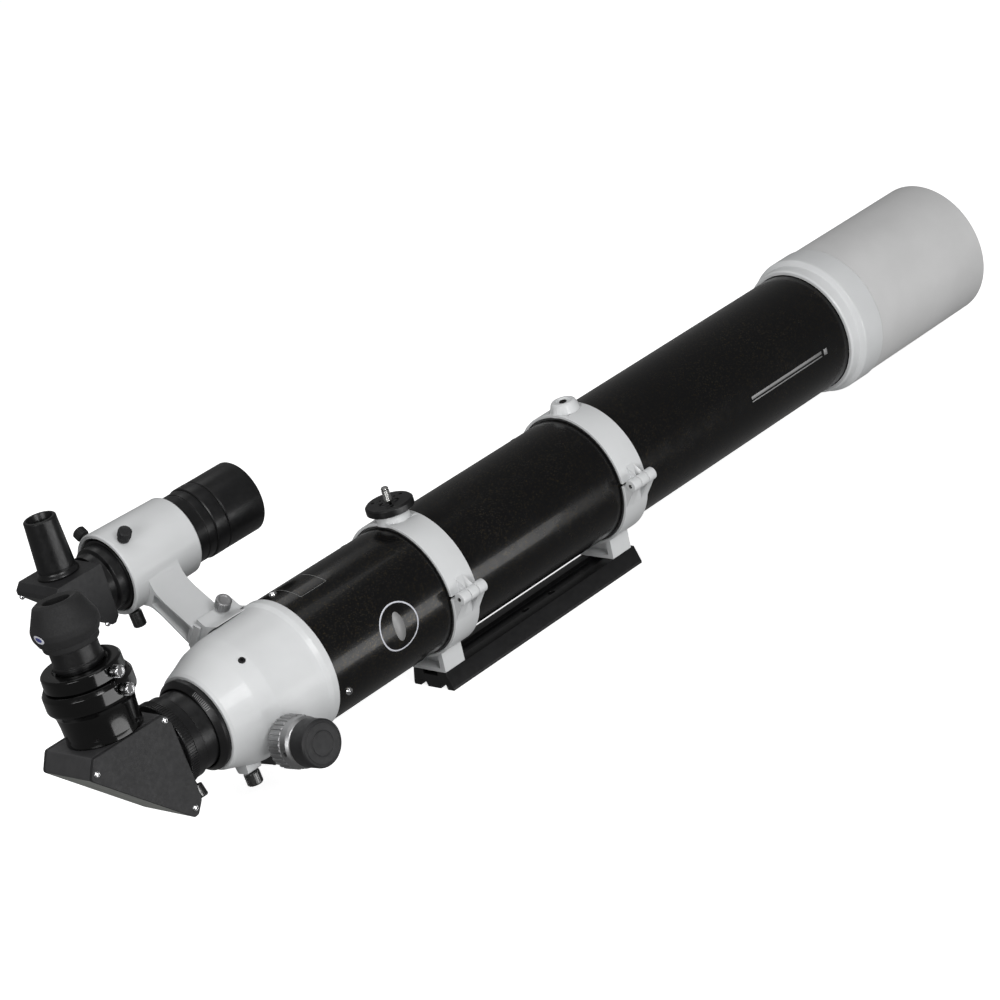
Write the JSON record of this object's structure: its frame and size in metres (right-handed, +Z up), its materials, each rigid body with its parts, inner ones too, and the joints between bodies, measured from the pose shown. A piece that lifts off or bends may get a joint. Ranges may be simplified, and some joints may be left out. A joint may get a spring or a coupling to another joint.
{
  "type": "refractor telescope",
  "caption": "Refractor telescope: black tube in white hinged rings on a dovetail bar, white lens cell and dew shield, focuser with star diagonal and eyepiece, right-angle finder.",
  "frame": {"origin": "middle of the dovetail bar's underside", "axes": "+X along the optical axis from the eyepiece end to the dew shield, +Z up, away from the dovetail bar, +Y to the left of someone looking towards the sky"},
  "size_m": [0.9594, 0.2356, 0.2325],
  "materials": {
    "white_paint": "white gloss powder paint",
    "shield_paint": "satin pale grey paint",
    "tube_paint": "gloss black paint with fine metallic flakes",
    "black_anodised": "satin black anodised aluminium",
    "gloss_black": "deep gloss black",
    "satin_metal": "satin nickel plated",
    "chrome": "polished chrome",
    "steel": "turned stainless steel",
    "optical_glass": "coated optical glass",
    "mirror": "first-surface mirror",
    "eyecup_rubber": "matte black rubber",
    "felt": "black felt",
    "flat_black": "flat black anti-reflection paint"
  },
  "bodies": {
    "mount": {"dovetail_bar": "black_anodised", "ring_rear_lower": "white_paint", "ring_front_lower": "white_paint", "felt_rear_lower": "felt", "felt_front_lower": "felt", "ring_rear_hinge_pin": "steel", "ring_front_hinge_pin": "steel"},
    "rear_ring_half": {"ring_rear_upper": "white_paint", "felt_rear_upper": "felt", "camera_stud": "steel"},
    "front_ring_half": {"ring_front_upper": "white_paint", "felt_front_upper": "felt"},
    "rear_clamp_screw": {"ring_rear_clamp_screw": "black_anodised"},
    "front_clamp_screw": {"ring_front_clamp_screw": "black_anodised"},
    "lock_disc": {"camera_lock_disc": "black_anodised"},
    "optical_tube": {"main_tube": "tube_paint", "tube_baffle": "flat_black", "objective_cell": "white_paint", "objective_rear_lens": "optical_glass", "objective_spacer": "flat_black", "objective_front_lens": "optical_glass", "objective_retaining_ring": "flat_black", "focuser_body": "white_paint", "focuser_collar": "black_anodised", "focuser_pressure_block": "black_anodised", "finder_shoe": "white_paint"},
    "shield": {"dew_shield": "shield_paint"},
    "draw": {"drawtube": "black_anodised", "two_inch_adapter": "black_anodised"},
    "coarse_focus": {"focus_shaft": "steel", "coarse_knob_right": "satin_metal", "coarse_knob_left": "satin_metal"},
    "fine_focus": {"fine_knob": "black_anodised"},
    "focus_lock": {"focus_lock_screw": "satin_metal"},
    "adapter_screw": {"adapter_thumb_screw": "satin_metal"},
    "diagonal": {"diagonal_barrel": "chrome", "diagonal_housing": "black_anodised", "diagonal_plate_right": "black_anodised", "diagonal_plate_left": "black_anodised", "diagonal_mirror": "mirror", "eyepiece_holder": "gloss_black", "eyepiece_adapter": "gloss_black"},
    "holder_screw_a": {"holder_screw_front": "chrome"},
    "holder_screw_b": {"holder_screw_rear": "chrome"},
    "small_adapter_screw": {"eyepiece_adapter_screw": "chrome"},
    "eyepiece": {"eyepiece_body": "black_anodised", "eye_lens": "optical_glass", "eyecup": "eyecup_rubber"},
    "shoe_screw": {"finder_shoe_screw": "satin_metal"},
    "bracket": {"finder_bracket": "white_paint"},
    "plunger": {"finder_plunger": "satin_metal"},
    "adjuster_a": {"finder_screw_left": "black_anodised"},
    "adjuster_b": {"finder_screw_right": "black_anodised"},
    "finder": {"finder_tube": "black_anodised", "finder_prism_housing": "black_anodised", "finder_prism": "optical_glass", "finder_eyepiece": "black_anodised"},
    "finder_lock": {"finder_lock_ring": "black_anodised"},
    "finder_objective": {"finder_objective_cell": "black_anodised", "finder_objective_lens": "optical_glass"}
  },
  "joints": [
    {"name": "rear_ring_open", "type": "hinge", "parent": "mount", "child": "rear_ring_half", "pos_m": [-0.096, -0.0626, 0.0825], "axis": [1, 0, 0], "range_deg": [0, 110]},
    {"name": "rear_clamp_turn", "type": "hinge", "parent": "rear_ring_half", "child": "rear_clamp_screw", "pos_m": [-0.096, 0.064, 0.0825], "axis": [0, 0, 1], "continuous": true},
    {"name": "front_ring_open", "type": "hinge", "parent": "mount", "child": "front_ring_half", "pos_m": [0.092, -0.0626, 0.0825], "axis": [1, 0, 0], "range_deg": [0, 110]},
    {"name": "front_clamp_turn", "type": "hinge", "parent": "front_ring_half", "child": "front_clamp_screw", "pos_m": [0.092, 0.064, 0.0825], "axis": [0, 0, 1], "continuous": true},
    {"name": "lock_disc_turn", "type": "hinge", "parent": "rear_ring_half", "child": "lock_disc", "pos_m": [-0.096, 0, 0.146], "axis": [0, 0, 1], "continuous": true},
    {"name": "tube_roll", "type": "hinge", "parent": "mount", "child": "optical_tube", "pos_m": [-0.096, 0, 0.0825], "axis": [1, 0, 0], "continuous": true},
    {"name": "dew_shield_pull", "type": "slide", "parent": "optical_tube", "child": "shield", "axis": [1, 0, 0], "range_m": [0, 0.015]},
    {"name": "drawtube_travel", "type": "slide", "parent": "optical_tube", "child": "draw", "axis": [-1, 0, 0], "range_m": [-0.01, 0.058]},
    {"name": "coarse_focus_turn", "type": "hinge", "parent": "optical_tube", "child": "coarse_focus", "pos_m": [-0.2787, -0.00346, 0.0521], "axis": [0, -0.9936, 0.1132], "range_deg": [-185, 1050]},
    {"name": "fine_focus_turn", "type": "hinge", "parent": "optical_tube", "child": "fine_focus", "pos_m": [-0.2787, -0.08096, 0.06093], "axis": [0, -0.9936, 0.1132], "range_deg": [-1800, 10500]},
    {"name": "focus_lock_turn", "type": "hinge", "parent": "optical_tube", "child": "focus_lock", "pos_m": [-0.2875, -0.00566, 0.03282], "axis": [0, -0.1132, -0.9936], "continuous": true},
    {"name": "adapter_screw_turn", "type": "hinge", "parent": "draw", "child": "adapter_screw", "pos_m": [-0.341, -0.01785, 0.0467], "axis": [0, -0.4462, -0.8949], "continuous": true},
    {"name": "diagonal_turn", "type": "hinge", "parent": "draw", "child": "diagonal", "pos_m": [-0.33, 0, 0.0825], "axis": [1, 0, 0], "continuous": true},
    {"name": "holder_screw_front_turn", "type": "hinge", "parent": "diagonal", "child": "holder_screw_a", "pos_m": [-0.37758, -0.03388, 0.14985], "axis": [0.1736, -0.9841, 0.0378], "continuous": true},
    {"name": "holder_screw_rear_turn", "type": "hinge", "parent": "diagonal", "child": "holder_screw_b", "pos_m": [-0.39042, 0.03894, 0.14705], "axis": [-0.1736, 0.9841, -0.0378], "continuous": true},
    {"name": "eyepiece_screw_turn", "type": "hinge", "parent": "diagonal", "child": "small_adapter_screw", "pos_m": [-0.37827, -0.02943, 0.16309], "axis": [0.1736, -0.9841, 0.0378], "continuous": true},
    {"name": "eyepiece_pull", "type": "slide", "parent": "diagonal", "child": "eyepiece", "axis": [0, 0.0384, 0.9993], "range_m": [0, 0.03]},
    {"name": "shoe_screw_turn", "type": "hinge", "parent": "optical_tube", "child": "shoe_screw", "pos_m": [-0.241, 0.02982, 0.13689], "axis": [0, -0.6225, 0.7826], "continuous": true},
    {"name": "bracket_slide", "type": "slide", "parent": "optical_tube", "child": "bracket", "axis": [-1, 0, 0], "range_m": [0, 0.03]},
    {"name": "finder_screw_left_slide", "type": "slide", "parent": "bracket", "child": "adjuster_a", "axis": [0, 0.7826, 0.6225], "range_m": [-0.00065, 0.00065]},
    {"name": "finder_screw_right_slide", "type": "slide", "parent": "bracket", "child": "adjuster_b", "axis": [0, -0.6225, 0.7826], "range_m": [-0.0008, 0.0008]},
    {"name": "finder_plunger_slide", "type": "slide", "parent": "bracket", "child": "plunger", "axis": [0, -0.1132, -0.9936], "range_m": [-0.001, 0.001]},
    {"name": "finder_aim", "type": "hinge", "parent": "bracket", "child": "finder", "pos_m": [-0.2145, 0.10761, 0.1681], "axis": [0, 1, 0], "range_deg": [-1, 1]},
    {"name": "finder_lock_turn", "type": "hinge", "parent": "finder", "child": "finder_lock", "pos_m": [-0.187, 0.10761, 0.1681], "axis": [1, 0, 0], "continuous": true},
    {"name": "finder_focus_turn", "type": "hinge", "parent": "finder", "child": "finder_objective", "pos_m": [-0.165, 0.10761, 0.1681], "axis": [1, 0, 0], "continuous": true}
  ],
  "couplings": [
    {"joint": "coarse_focus_turn", "follows": "drawtube_travel", "rad_per_m": 312.5},
    {"joint": "fine_focus_turn", "follows": "drawtube_travel", "rad_per_m": 3125},
    {"joint": "finder_screw_left_slide", "follows": "finder_aim", "m_per_rad": 0.0325},
    {"joint": "finder_screw_right_slide", "follows": "finder_aim", "m_per_rad": 0.0408},
    {"joint": "finder_plunger_slide", "follows": "finder_aim", "m_per_rad": -0.0519}
  ]
}
